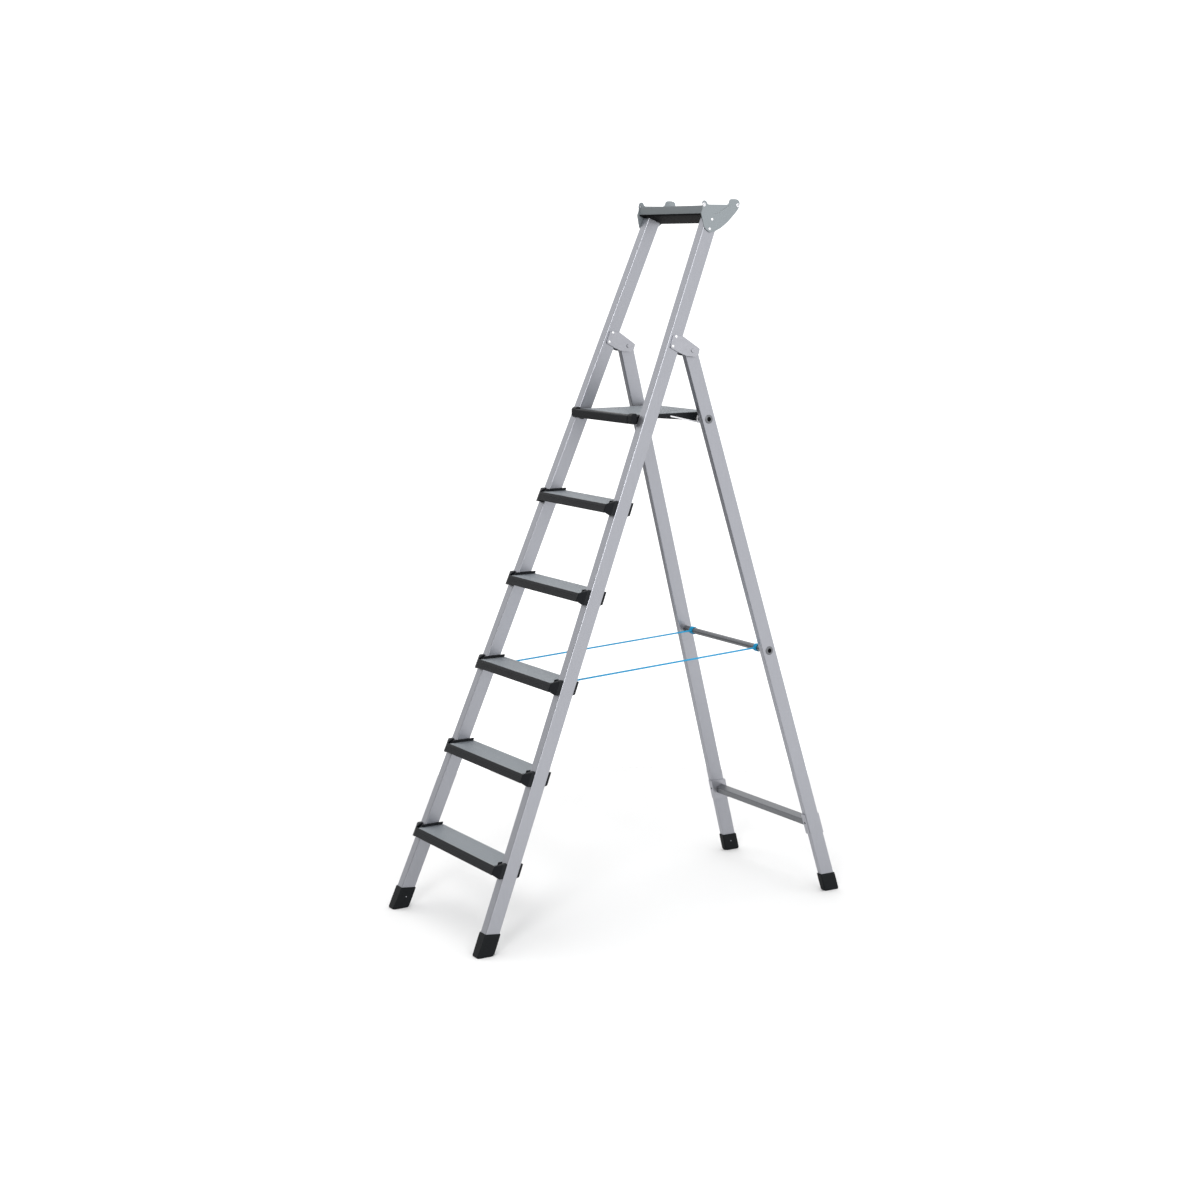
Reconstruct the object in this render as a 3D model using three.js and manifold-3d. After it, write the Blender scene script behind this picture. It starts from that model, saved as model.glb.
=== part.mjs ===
// A folding step ladder: five plain steps, a hinged platform, a guard rail with a tool tray,
// and a folding rear frame held by two straps. Millimetres, +Z up, the user climbs towards +Y.
import * as THREE from "three";
import { mergeVertices } from "three/addons/utils/BufferGeometryUtils.js";
import Module from "manifold-3d";

// ---- Driving dimensions ----
const RISE = 235; // from one step to the next
const STEPS = 5; // steps below the platform
const FIRST_STEP_TOP = 231;
const HALF_WIDTH = 269.4; // middle of the ladder to the outside of a stile, at the floor
const TAPER = 0.0548; // both frames narrow by this much per mm of height, on each side
const STILE_SLOPE = 0.4069; // a stile moves back by this much per mm of height
const STILE_WIDTH = 31;
const STILE_DEPTH = 43.7; // measured level, as are all depths of leaning tubes
const LEG_SLOPE = 0.2785; // a rear leg moves forward by this much per mm of height
const LEG_WIDTH = 18;
const LEG_DEPTH = 45.1;
const WALL = 2;
const GUARD_HEIGHT = 542.6; // platform top to the top of the stiles
const HINGE_ABOVE_PLATFORM = 173.5;
const HINGE_GAP = 21.9; // back of a stile to the front of a leg, level with the hinge
const PLATFORM_DEPTH = 279;
const TREAD_DEPTH = 82.4;
const TREAD_HEIGHT = 23;
const BAR_RADIUS = 9;
const GAP = 0.3; // between pieces that touch

// ---- Sizes that follow from them ----
const platformTop = FIRST_STEP_TOP + RISE * STEPS;
const legInset = (STILE_WIDTH - LEG_WIDTH) / 2;
const stileFront = (z) => STILE_SLOPE * z;
const stileOuter = (z) => HALF_WIDTH - TAPER * z;
const stileInner = (z) => stileOuter(z) - STILE_WIDTH;
const hinge = { z: platformTop + HINGE_ABOVE_PLATFORM };
hinge.y = stileFront(hinge.z) + STILE_DEPTH + HINGE_GAP + LEG_DEPTH / 2;
const legMiddle = (z) => hinge.y - LEG_SLOPE * (z - hinge.z);
const legFront = (z) => legMiddle(z) - LEG_DEPTH / 2;
const legInner = (z) => stileInner(z) + legInset;
const legOuter = (z) => legInner(z) + LEG_WIDTH;
const stepTop = (n) => FIRST_STEP_TOP + RISE * (n - 1);
const onLeg = (z) => ({ y: legMiddle(z), z });

// ---- Finishes ----
const finish = (color, roughness, metalness) => ({ color, roughness, metalness });
const ALUMINIUM = finish(0xb4b7bd, 0.42, 0.9);
const TREAD = finish(0x9fa2a6, 0.6, 0.7);
const GREY_METAL = finish(0x979a9e, 0.5, 0.7);
const STEEL = finish(0xc4c7ca, 0.35, 0.9);
const BLACK = finish(0x2b2e30, 0.6, 0);
const WEBBING = finish(0x2ba3d4, 0.8, 0);

// ---- Solids ----
const wasm = await Module();
wasm.setup();

function toSolid(geometry) {
  const plain = geometry.clone();
  plain.deleteAttribute("normal");
  plain.deleteAttribute("uv");
  const merged = mergeVertices(plain, 1e-4);
  const mesh = { numProp: 3, vertProperties: merged.attributes.position.array };
  mesh.triVerts = new Uint32Array(merged.index.array);
  return new wasm.Manifold(new wasm.Mesh(mesh));
}

function toGeometry(solid) {
  const mesh = solid.getMesh();
  const geometry = new THREE.BufferGeometry();
  const points = new Float32Array(mesh.vertProperties);
  geometry.setAttribute("position", new THREE.BufferAttribute(points, 3));
  geometry.setIndex(new THREE.BufferAttribute(new Uint32Array(mesh.triVerts), 1));
  return geometry;
}

function cut(body, ...tools) {
  return toGeometry(tools.reduce((left, tool) => left.subtract(toSolid(tool)), toSolid(body)));
}

function join(...bodies) {
  return toGeometry(bodies.map(toSolid).reduce((all, body) => all.add(body)));
}

// Moves every vertex with place(x, y, z) => [x, y, z].
function mapped(geometry, place) {
  const result = geometry.clone();
  const position = result.attributes.position;
  for (let i = 0; i < position.count; i += 1) {
    position.setXYZ(i, ...place(position.getX(i), position.getY(i), position.getZ(i)));
  }
  return result;
}

// The same body on the other side of the ladder.
function mirrored(geometry) {
  const flat = geometry.index ? geometry.toNonIndexed() : geometry.clone();
  const source = flat.attributes.position;
  const points = new Float32Array(source.count * 3);
  for (let i = 0; i < source.count; i += 1) {
    const from = i % 3 === 0 ? i : i + (i % 3 === 1 ? 1 : -1);
    points.set([-source.getX(from), source.getY(from), source.getZ(from)], i * 3);
  }
  return new THREE.BufferGeometry().setAttribute("position", new THREE.BufferAttribute(points, 3));
}

function extruded(outline, from, to, holes) {
  const shape = new THREE.Shape(outline.map(([a, b]) => new THREE.Vector2(a, b)));
  shape.holes = holes.map((hole) => new THREE.Path(hole.map(([a, b]) => new THREE.Vector2(a, b))));
  const geometry = new THREE.ExtrudeGeometry(shape, { depth: to - from, bevelEnabled: false });
  return geometry.translate(0, 0, from);
}

// Outline in (y, z), standing between two values of x.
function plate(outline, x0, x1, holes = []) {
  return mapped(extruded(outline, x0, x1, holes), (a, b, c) => [c, a, b]);
}

// Outline in (x, y), standing between two values of z.
function column(outline, z0, z1, holes = []) {
  return extruded(outline, z0, z1, holes);
}

// Outline in (x, z), lying between two values of y.
function beam(outline, y0, y1, holes = []) {
  return mapped(extruded(outline, -y1, -y0, holes), (a, b, c) => [a, -c, b]);
}

const box = (x0, x1, y0, y1, z0, z1) => column(rectangle(x0, x1, y0, y1), z0, z1);

function rectangle(x0, x1, y0, y1) {
  return [[x0, y0], [x1, y0], [x1, y1], [x0, y1]];
}

function rounded(x0, x1, y0, y1, radius, pieces = 3) {
  const middles = [[x1, y0, -1, 1], [x1, y1, -1, -1], [x0, y1, 1, -1], [x0, y0, 1, 1]];
  return middles.flatMap(([x, y, sx, sy], corner) => {
    const start = (corner - 1) * (Math.PI / 2);
    return Array.from({ length: pieces + 1 }, (_, i) => {
      const angle = start + (i / pieces) * (Math.PI / 2);
      const out = [radius * Math.cos(angle), radius * Math.sin(angle)];
      return [x + sx * radius + out[0], y + sy * radius + out[1]];
    });
  });
}

function circle(centre, radius, sides = 24) {
  return Array.from({ length: sides }, (_, i) => {
    const angle = (i / sides) * 2 * Math.PI;
    return [centre.y + radius * Math.cos(angle), centre.z + radius * Math.sin(angle)];
  });
}

// A closed skin over rings of equally many points, capped at the first and the last ring.
function skin(rings) {
  const count = rings[0].length;
  const faces = [];
  for (let r = 0; r + 1 < rings.length; r += 1) {
    for (let i = 0; i < count; i += 1) {
      const j = (i + 1) % count;
      faces.push([rings[r][i], rings[r][j], rings[r + 1][j]]);
      faces.push([rings[r][i], rings[r + 1][j], rings[r + 1][i]]);
    }
  }
  const [first, last] = [rings[0], rings[rings.length - 1]];
  for (let i = 1; i + 1 < count; i += 1) {
    faces.push([first[0], first[i + 1], first[i]]);
    faces.push([last[0], last[i], last[i + 1]]);
  }
  const points = new Float32Array(faces.flat(2));
  return new THREE.BufferGeometry().setAttribute("position", new THREE.BufferAttribute(points, 3));
}

// ---- Placing on the leaning tubes: u is outward from the inner face, v is back from the front ----
const onStile = (u, v, z) => [stileInner(z) + u, stileFront(z) + v, z];
const onRearLeg = (u, v, z) => [legInner(z) + u, legFront(z) + v, z];
const besideStile = (u, y, z) => [stileInner(z) + u, y, z];
const besideLeg = (u, y, z) => [legInner(z) + u, y, z];
// A piece that runs right across, drawn from x = -1 to 1, ends at x = +-reach(z).
const across = (reach) => (x, y, z) => [Math.sign(x) * reach(z), y, z];

function tube(width, depth, corner) {
  const outside = rounded(0, width, 0, depth, corner);
  const inside = rounded(WALL, width - WALL, WALL, depth - WALL, corner - WALL / 2);
  return column(outside, 0, 1, [inside]);
}

// ---- The assembly ----
const group = new THREE.Group();
group.name = "step_ladder";
const bodies = {};
for (const name of ["front_frame", "platform", "stays", "rear_frame"]) {
  bodies[name] = new THREE.Group();
  bodies[name].name = name;
  group.add(bodies[name]);
}

function add(body, name, geometry, look) {
  const bare = geometry.index ? geometry.toNonIndexed() : geometry;
  bare.computeVertexNormals();
  const mesh = new THREE.Mesh(bare, new THREE.MeshStandardMaterial(look));
  mesh.name = name;
  bodies[body].add(mesh);
}

// NAME becomes NAME_right and NAME_left, with an optional ending.
function addPair(body, name, geometry, look, ending = "") {
  add(body, `${name}_right${ending}`, geometry, look);
  add(body, `${name}_left${ending}`, mirrored(geometry), look);
}

// ---- Tool tray: its points are measured from the front line of the stiles at their top ----
const TRAY_SHEET = 2.5;
const FLOOR_FALL = 0.387; // the tray floor drops by this much per mm towards the back
const top = { z: platformTop + GUARD_HEIGHT };
top.y = stileFront(top.z);
const atTop = ([dy, dz]) => [top.y + dy, top.z + dz];
const trayFront = -15;
const trayRim = 27.4;
const floorStart = 5;
const floorAt = (dy) => floorStart - FLOOR_FALL * (dy - trayFront);
const trayBack = STILE_DEPTH + 2; // where the floor starts to curve up
const UNDER_TRAY = 3.2; // from the tray floor's upper face down to the stiles' cut ends
const stileTopAt = (y) => top.z + floorAt(y - top.y) - UNDER_TRAY;

// ---- Stiles ----
const FOOT_FLOOR = 4; // sole thickness under the tubes
const CORNER = 3;
const stile = mapped(tube(STILE_WIDTH, STILE_DEPTH, CORNER), (u, v, end) => {
  const slopes = 1 + FLOOR_FALL * STILE_SLOPE;
  const upper = (stileTopAt(0) - FLOOR_FALL * v) / slopes;
  return onStile(u, v, end > 0.5 ? upper : FOOT_FLOOR + GAP);
});
addPair("front_frame", "stile", stile, ALUMINIUM);

// ---- Steps ----
const NOSE = 24; // how far a nosing stands ahead of the stiles
const NOSE_THICK = 3.3;
const NOSE_OVERLAP = 6; // a nosing covers this much of the inside edge of each stile
const CHEEK = 2.7; // plastic on the inner face of a stile
const BLOCK = 11; // plastic ahead of a stile
const BLOCK_DROP = 30;
const BLOCK_RISE = 9;
const FLANGE = 12.5; // plastic behind a stile
const FLANGE_DROP = 38;
const FLANGE_RISE = 5;
const TREAD_WALL = 1.8;
const treadStart = NOSE_THICK - NOSE + GAP;
const treadEnd = treadStart + TREAD_DEPTH;

for (let n = 1; n <= STEPS; n += 1) {
  const z = stepTop(n);
  const front = stileFront(z);
  const at = ([dy, dz]) => [front + dy, z + dz];
  const wall = TREAD_WALL;
  const [y0, y1, low] = [treadStart, treadEnd, -TREAD_HEIGHT];
  const section = [[y0, low], [y1 - 3, low], [y1, low + 3]];
  section.push([y1, -4], [y1 - 1.2, -1.2], [y1 - 4, 0], [y0, 0]);
  const rib = (y0 + y1) / 2;
  const hollows = [[y0 + wall, rib - wall / 2], [rib + wall / 2, y1 - wall - 2.2]];
  const treadReach = stileInner(z) - CHEEK - 2 * GAP;
  const whole = plate(section.map(at), -treadReach, treadReach);
  const cores = hollows.map(([a, b]) => {
    return plate(rectangle(a, b, low + wall, -wall).map(at), -HALF_WIDTH, HALF_WIDTH);
  });
  add("front_frame", `step_tread_${n}`, cut(whole, ...cores), TREAD);

  const lean = STILE_SLOPE * TREAD_HEIGHT;
  const back = NOSE_THICK - NOSE;
  const nose = [[back, low], [2 - NOSE - lean, low], [-NOSE - lean * 0.92, low + 2]];
  nose.push([-NOSE, -1.5], [1 - NOSE, 0], [back, 0]);
  const noseReach = stileInner(z) + NOSE_OVERLAP;
  const nosing = plate(nose.map(at), -noseReach, noseReach);
  add("front_frame", `step_nosing_${n}`, nosing, BLACK);

  // One moulding at each end: a block ahead of the stile, a cheek inside it, a flange behind.
  const u1 = STILE_WIDTH;
  const face = [[GAP - CHEEK - 1, 8 - BLOCK_DROP], [5, -BLOCK_DROP], [u1, -BLOCK_DROP]];
  face.push([u1, BLOCK_RISE - 2], [u1 - 3, BLOCK_RISE], [14, BLOCK_RISE], [5, 1], [-CHEEK, 1]);
  const corner = NOSE_OVERLAP + GAP; // of the block round the nosing's end
  const plan = [[u1, -GAP], [u1, 1.5 - BLOCK], [u1 - 1.5, -BLOCK], [17, -BLOCK]];
  plan.push([corner + 1.7, 0.5 - NOSE], [corner, 0.5 - NOSE], [corner, -BLOCK]);
  plan.push([-CHEEK, -BLOCK], [-CHEEK, -GAP]);
  const slab = toSolid(column(plan, z - BLOCK_DROP - 1, z + BLOCK_RISE + 1));
  const mask = toSolid(beam(face.map(([u, w]) => [u, z + w]), -NOSE - 1, 1));
  const block = toGeometry(slab.intersect(mask));
  const rear = STILE_DEPTH + GAP;
  const tail = rear + FLANGE;
  const atHeight = ([v, w]) => [v, z + w];
  const side = [[1 - BLOCK, 6 - BLOCK_DROP], [8, -TREAD_HEIGHT], [rear, 4 - BLOCK_DROP]];
  side.push([rear, -FLANGE_DROP], [tail, 3 - FLANGE_DROP], [tail, FLANGE_RISE]);
  side.push([tail - 2.5, FLANGE_RISE + 2.5], [1 - BLOCK, FLANGE_RISE + 2.5]);
  const cheek = plate(side.map(atHeight), -CHEEK, -GAP);
  const flange = [[rear, -FLANGE_DROP], [tail, 3 - FLANGE_DROP], [tail, -1], [rear, 0]];
  const grip = plate(flange.map(atHeight), 0.2 - CHEEK, STILE_WIDTH * 0.7);
  const moulding = mapped(join(block, cheek, grip), onStile);
  addPair("front_frame", "step_end", moulding, BLACK, `_${n}`);
}

// ---- Feet: a cup with a sole, a flare fore and aft, and a pocket for the tube ----
const SLEEVE = 2.3;
const SOLE_CORNER = 7;
function foot(width, depth, place, rimFront, rimFall, flare) {
  const ring = (grow, spread, height, radius = CORNER) => {
    const points = rounded(-grow, width + grow, -grow - spread, depth + grow + spread, radius);
    return points.map(([u, v]) => place(u, v, height(v)));
  };
  const rim = (v) => rimFront - rimFall * v;
  const rings = [ring(SLEEVE - 2.2, flare - 2.5, () => 0, SOLE_CORNER)];
  rings.push(ring(SLEEVE - 0.6, flare - 0.8, () => 1.6, SOLE_CORNER));
  rings.push(ring(SLEEVE, flare, () => 5, SOLE_CORNER), ring(SLEEVE, flare * 0.7, () => 15, 5));
  rings.push(ring(SLEEVE, 0.2, (v) => rim(v) - 1.2));
  rings.push(ring(SLEEVE - 0.9, 0, rim), ring(GAP, 0, rim), ring(GAP, 0, () => FOOT_FLOOR));
  return skin(rings);
}
const FLARE_OUT = 2; // fore and aft, at the sole
const frontFoot = foot(STILE_WIDTH, STILE_DEPTH, onStile, 61.5, 0.11, FLARE_OUT);
addPair("front_frame", "foot_front", frontFoot, BLACK);
const rearFoot = foot(LEG_WIDTH, LEG_DEPTH, onRearLeg, 51.5, 0, FLARE_OUT);
addPair("rear_frame", "foot_rear", rearFoot, BLACK);

// ---- Hinge of the rear frame: a folded bracket on each stile, a pin, and two spacers ----
const BRACKET = 3;
const PIN_RADIUS = 4;
const CLEARANCE = 0.3; // around each pin
const SWING_GAP = 0.6; // beside each leg, which turns past its spacers
const outsideStile = STILE_WIDTH + GAP;
const bracketOutline = [[-21.2, -14.2], [9.4, -17.5], [19.3, -10.9], [23.9, 4.5]];
bracketOutline.push([-30.2, 40], [-62.8, 43.1], [-72.1, 15], [-72.3, 9.2], [-48, -3.1]);
const atHinge = ([dy, dz]) => [hinge.y + dy, hinge.z + dz];
const pinHole = [circle(hinge, PIN_RADIUS + CLEARANCE, 16)];
const cheekPlate = (from) => plate(bracketOutline.map(atHinge), from, from + BRACKET, pinHole);
const webPlan = rectangle(-BRACKET, STILE_WIDTH + BRACKET, STILE_DEPTH + GAP, STILE_DEPTH + BRACKET);
const web = column(webPlan, hinge.z + 2, hinge.z + 34);
const placedCheeks = [-BRACKET - GAP, outsideStile].map((from) => mapped(cheekPlate(from), besideStile));
const hingeBracket = join(...placedCheeks, mapped(web, onStile));
addPair("front_frame", "hinge_bracket", hingeBracket, STEEL);

const HEAD = 2.2; // thickness of a pin's head
const pinEnds = [-BRACKET - 2 * GAP, STILE_WIDTH + BRACKET + 2 * GAP];
const pinHead = (from) => plate(circle(hinge, PIN_RADIUS + 1.8, 16), from, from + HEAD);
const pinRod = plate(circle(hinge, PIN_RADIUS, 16), pinEnds[0] - 1, pinEnds[1] + 1);
const hingePin = join(pinRod, pinHead(pinEnds[0] - HEAD), pinHead(pinEnds[1]));
addPair("front_frame", "hinge_pin", mapped(hingePin, besideStile), STEEL);

const spacer = (from, to) => {
  return mapped(plate(circle(hinge, PIN_RADIUS + 5, 16), from, to, pinHole), besideStile);
};
const innerSpacer = spacer(0, legInset - SWING_GAP);
const outerSpacer = spacer(STILE_WIDTH - legInset + SWING_GAP, STILE_WIDTH);
addPair("front_frame", "hinge_spacer_inner", innerSpacer, BLACK);
addPair("front_frame", "hinge_spacer_outer", outerSpacer, BLACK);

// ---- Tool tray and its end plates ----
const curve = [[trayBack, 0], [trayBack + 14, 3.5], [trayBack + 27, 12.5]];
curve.push([trayBack + 37, 24], [trayBack + 44, 36]);
const floorEnd = floorAt(trayBack);
const inside = [[trayFront + TRAY_SHEET, floorAt(trayFront + TRAY_SHEET)]];
inside.push(...curve.map(([dy, rise]) => [dy, floorEnd + rise]), [trayBack + 48, trayRim]);
const under = [[trayFront, floorStart - TRAY_SHEET], [trayBack - 0.5, floorEnd - 2.7]];
under.push([trayBack + 15, floorEnd + 0.8], [trayBack + 28.8, floorEnd + 10.6]);
under.push([trayBack + 39.2, floorEnd + 22.6], [trayBack + 46.5, floorEnd + 35]);
under.push([trayBack + 50.6, trayRim]);
const traySection = [...under, ...inside.reverse(), [trayFront + TRAY_SHEET, trayRim], [trayFront, trayRim]];
const tray = mapped(plate(traySection.map(atTop), -1, 1), across((z) => stileOuter(z)));
add("front_frame", "tool_tray", tray, GREY_METAL);

// The fan's outline: down the front, round the lower edge, the rear hook, then the front hook.
const fan = [[-21.3, 5.1], [-13.4, -29.6], [-7.7, -38.3], [5.4, -46.4], [14.6, -45.3]];
fan.push([20.7, -44.2], [42, -34.6], [66.3, -17.7], [87.4, 1.8], [99.8, 14.4], [108.8, 27]);
fan.push([107.5, 38], [102.5, 43.8], [92, 45.5], [80, 45.5], [75.3, 42.5], [72.5, 34], [68, 29.8]);
fan.push([4, 29.8], [0.4, 32], [-3, 38.5], [-7, 41], [-12.6, 40.8], [-16, 36], [-16.9, 15.9]);
const pegHoles = [[-11.8, 29.6], [101.4, 28.2]].map(([dy, dz]) => ({ y: top.y + dy, z: top.z + dz }));
const slotPath = [[21, 1.5], [36, 6.5], [52, 14], [72, 26]];
slotPath.push([70.5, 28.4], [50.5, 16.6], [35, 9.2], [20, 4.2]);
const fanHoles = [...pegHoles.map((hole) => circle(hole, 3.2, 12)), slotPath.map(atTop)];
const fanPlate = plate(fan.map(atTop), outsideStile, outsideStile + 3, fanHoles);
addPair("front_frame", "tray_end", mapped(fanPlate, besideStile), GREY_METAL);

// ---- Platform: it turns on a stub inside each stile and rests on the upper crossbar ----
const PLATFORM_NOSE = 27;
const SKIRT_INSET = 129; // outside of a stile, at the floor, to the side of the platform
const SKIRT_FRONT_DROP = 13;
const SKIRT_DROP = 24.5; // at the crossbar
const SHEET = 3;
const platformPivot = { z: platformTop - 17 };
platformPivot.y = stileFront(platformPivot.z) + 17.7;
const platformBar = onLeg(platformTop - 18.2);
const platformFront = stileFront(platformTop) - PLATFORM_NOSE;
const platformBack = platformFront + PLATFORM_DEPTH;
const noseBack = platformFront + 24;
const skirt = HALF_WIDTH - SKIRT_INSET;
const frameFront = noseBack + GAP;

const notchRadius = BAR_RADIUS + GAP;
const notch = Array.from({ length: 9 }, (_, i) => {
  const angle = (i / 8) * Math.PI;
  return [platformBar.y + notchRadius * Math.cos(angle), platformBar.z + notchRadius * Math.sin(angle)];
});
const skirtFoot = platformTop - SKIRT_DROP;
const skirtShoulder = platformTop - SKIRT_FRONT_DROP;
const profile = [[frameFront, platformTop - 1], [frameFront, skirtShoulder]];
profile.push([platformBar.y - 134, skirtShoulder]);
profile.push([platformBar.y - notchRadius, skirtFoot], ...notch.reverse());
profile.push([platformBar.y + notchRadius, skirtFoot], [platformBack - 5, skirtFoot + 1]);
profile.push([platformBack, skirtFoot + 6], [platformBack, platformTop - 1]);
const deckUnder = platformTop - SHEET - GAP;
const RIM = 2.5; // wall of the platform frame round the deck and the cells
const bedBack = platformBack - RIM;
const deckBed = box(RIM - skirt, skirt - RIM, frameFront - 5, bedBack, deckUnder, platformTop + 5);
const cellRoof = platformTop - 7;
const cells = [];
const ribs = [-skirt, -skirt / 3, skirt / 3, skirt];
for (let i = 0; i + 1 < ribs.length; i += 1) {
  const [x0, x1] = [ribs[i] + RIM, ribs[i + 1] - RIM];
  cells.push(box(x0, x1, frameFront + 3, platformBar.y - 20, skirtFoot - 9, cellRoof));
  cells.push(box(x0, x1, platformBar.y - 17, platformBack - 3, skirtFoot - 9, cellRoof));
}
const platformFrame = cut(plate(profile, -skirt, skirt), deckBed, ...cells);
add("platform", "platform_frame", platformFrame, BLACK);
const deckX = skirt - RIM - GAP;
const deck = box(-deckX, deckX, frameFront, bedBack - GAP, platformTop - SHEET, platformTop);
add("platform", "platform_deck", deck, TREAD);

const NOSE_HEIGHT = 24;
const noseLow = platformTop - NOSE_HEIGHT;
const noseSection = [[noseBack, noseLow], [platformFront + 2, noseLow], [platformFront, noseLow + 2.5]];
noseSection.push([platformFront, platformTop - 3], [platformFront + 3, platformTop], [noseBack, platformTop]);
const noseCell = box(-skirt + 6, skirt - 6, platformFront + 4, noseBack + 1, noseLow - 1, platformTop - 4);
add("platform", "platform_nosing", cut(plate(noseSection, -skirt, skirt), noseCell), BLACK);

const besideNosing = skirt + GAP;
const frontReach = stileInner(platformTop) - 1.3;
const rearReach = stileInner(platformTop) - BRACKET - 1.2;
const cornerFront = [[-18, -7], [-18, 22], [-30, 22], [-37, 17], [-37, -2], [-32, -8]];
const cornerRear = [[-19, -7], [8, -11], [24, -7], [30, 2], [30, 15], [-19, 15]];
const fromPivot = ([dy, dz]) => [platformPivot.y + dy, platformPivot.z + dz];
const cornerBlock = join(
  plate(cornerFront.map(fromPivot), besideNosing, frontReach),
  plate(cornerRear.map(fromPivot), besideNosing, rearReach),
);
const STUB_RADIUS = 4;
const boreOutline = circle(platformPivot, STUB_RADIUS + CLEARANCE, 16);
const pivotBore = plate(boreOutline, besideNosing - 1, rearReach + 1);
addPair("platform", "platform_corner", cut(cornerBlock, pivotBore), BLACK);

const BOSS_RADIUS = 15;
const stubLength = rearReach - besideNosing - 1;
const boss = plate(circle(platformPivot, BOSS_RADIUS), -BRACKET, -GAP);
const stubEnd = -BRACKET - 0.9 - stubLength;
const stub = plate(circle(platformPivot, STUB_RADIUS, 16), stubEnd, 1 - BRACKET);
addPair("front_frame", "platform_pivot", mapped(join(boss, stub), besideStile), BLACK);

// ---- Rear frame ----
const middleBar = onLeg(stepTop(3) + 21.7);
const LOWER_BAR_Z = 205;
const lowerBar = onLeg(LOWER_BAR_Z);
const legBores = [platformBar, middleBar].map((bar) => circle(bar, BAR_RADIUS + GAP));
legBores.push(circle(hinge, PIN_RADIUS + CLEARANCE, 16));
const LEG_ABOVE_HINGE = 23.5; // at the front of a leg; its cut end falls to the hinge's level behind
const legTube = mapped(tube(LEG_WIDTH, LEG_DEPTH, CORNER), (u, v, end) => {
  const upper = hinge.z + LEG_ABOVE_HINGE * (1 - v / LEG_DEPTH);
  return onRearLeg(u, v, end > 0.5 ? upper : FOOT_FLOOR + GAP);
});
const drills = legBores.map((bore) => plate(bore, 0, HALF_WIDTH));
addPair("rear_frame", "leg", cut(legTube, ...drills), ALUMINIUM);

const BAR_BORE = 6.5;
const FLARE = 12.4;
function roundBar(bar) {
  const hole = [circle(bar, BAR_BORE)];
  const rod = mapped(plate(circle(bar, BAR_RADIUS), -1, 1, hole), across((z) => legOuter(z) + 1));
  const mouth = [circle(bar, BAR_BORE + 1)];
  const ring = plate(circle(bar, FLARE), LEG_WIDTH + GAP, LEG_WIDTH + GAP + 1.6, mouth);
  const placed = mapped(ring, besideLeg);
  return join(rod, placed, mirrored(placed));
}
add("rear_frame", "platform_crossbar", roundBar(platformBar), ALUMINIUM);
add("rear_frame", "middle_crossbar", roundBar(middleBar), ALUMINIUM);

const CLASP = 2.5;
const LOWER_DEPTH = 26;
const LOWER_HEIGHT = 20;
const legLean = Math.atan(LEG_SLOPE);
function leaning(shrink, radius) {
  const [depth, height] = [LOWER_DEPTH / 2 - shrink, LOWER_HEIGHT / 2 - shrink];
  return rounded(-depth, depth, -height, height, radius, 2).map(([a, b]) => {
    const y = a * Math.cos(legLean) - b * Math.sin(legLean);
    return [lowerBar.y + y, lowerBar.z + a * Math.sin(legLean) + b * Math.cos(legLean)];
  });
}
const lowerTube = plate(leaning(0, 2.5), -1, 1, [leaning(WALL, 1.5)]);
const betweenClasps = across((z) => legInner(z) - CLASP - 2 * GAP);
add("rear_frame", "lower_crossbar", mapped(lowerTube, betweenClasps), ALUMINIUM);

// A folded plate clasps each leg round its inner face where the lower crossbar ends.
const lip = LEG_WIDTH - 3;
const clasp = [[-CLASP, -CLASP], [lip, -CLASP], [lip, -GAP], [-GAP, -GAP], [-GAP, LEG_DEPTH + GAP]];
clasp.push([lip, LEG_DEPTH + GAP], [lip, LEG_DEPTH + CLASP + 1], [-CLASP, LEG_DEPTH + CLASP + 1]);
const claspPlate = column(clasp, lowerBar.z - 32, lowerBar.z + 28);
// circle takes its centre as y and z, and here they are the outline's x and z.
const claspHole = beam(circle({ y: 6, z: lowerBar.z }, 3, 12), -CLASP - 1, 1);
addPair("rear_frame", "lower_bracket", mapped(cut(claspPlate, claspHole), onRearLeg), STEEL);

// ---- Stays: a wire on each side joins the platform to the upper crossbar ----
const STAY_REACH = 100.1; // from the bar forward to the end on the platform
const STAY_RISE = 10; // of that end above the bar
const WIRE = 2;
const EYE_WALL = 3;
const stayX = besideNosing + 4.5;
const barOutline = [circle(platformBar, BAR_RADIUS + GAP)];
const eyeOutline = circle(platformBar, BAR_RADIUS + GAP + EYE_WALL);
const eye = plate(eyeOutline, stayX - EYE_WALL, stayX + EYE_WALL, barOutline);
const [tipY, tipZ] = [platformBar.y - STAY_REACH, platformBar.z + STAY_RISE];
const [rootY, rootZ] = [platformBar.y - 2.9, platformBar.z - BAR_RADIUS - 2.6];
const armOutline = [[tipY, tipZ - WIRE], [tipY - WIRE, tipZ], [tipY, tipZ + WIRE]];
armOutline.push([rootY, rootZ + WIRE], [rootY, rootZ - WIRE]);
const arm = plate(armOutline, stayX - WIRE, stayX + WIRE);
addPair("stays", "platform_stay", join(eye, arm), STEEL);

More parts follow.
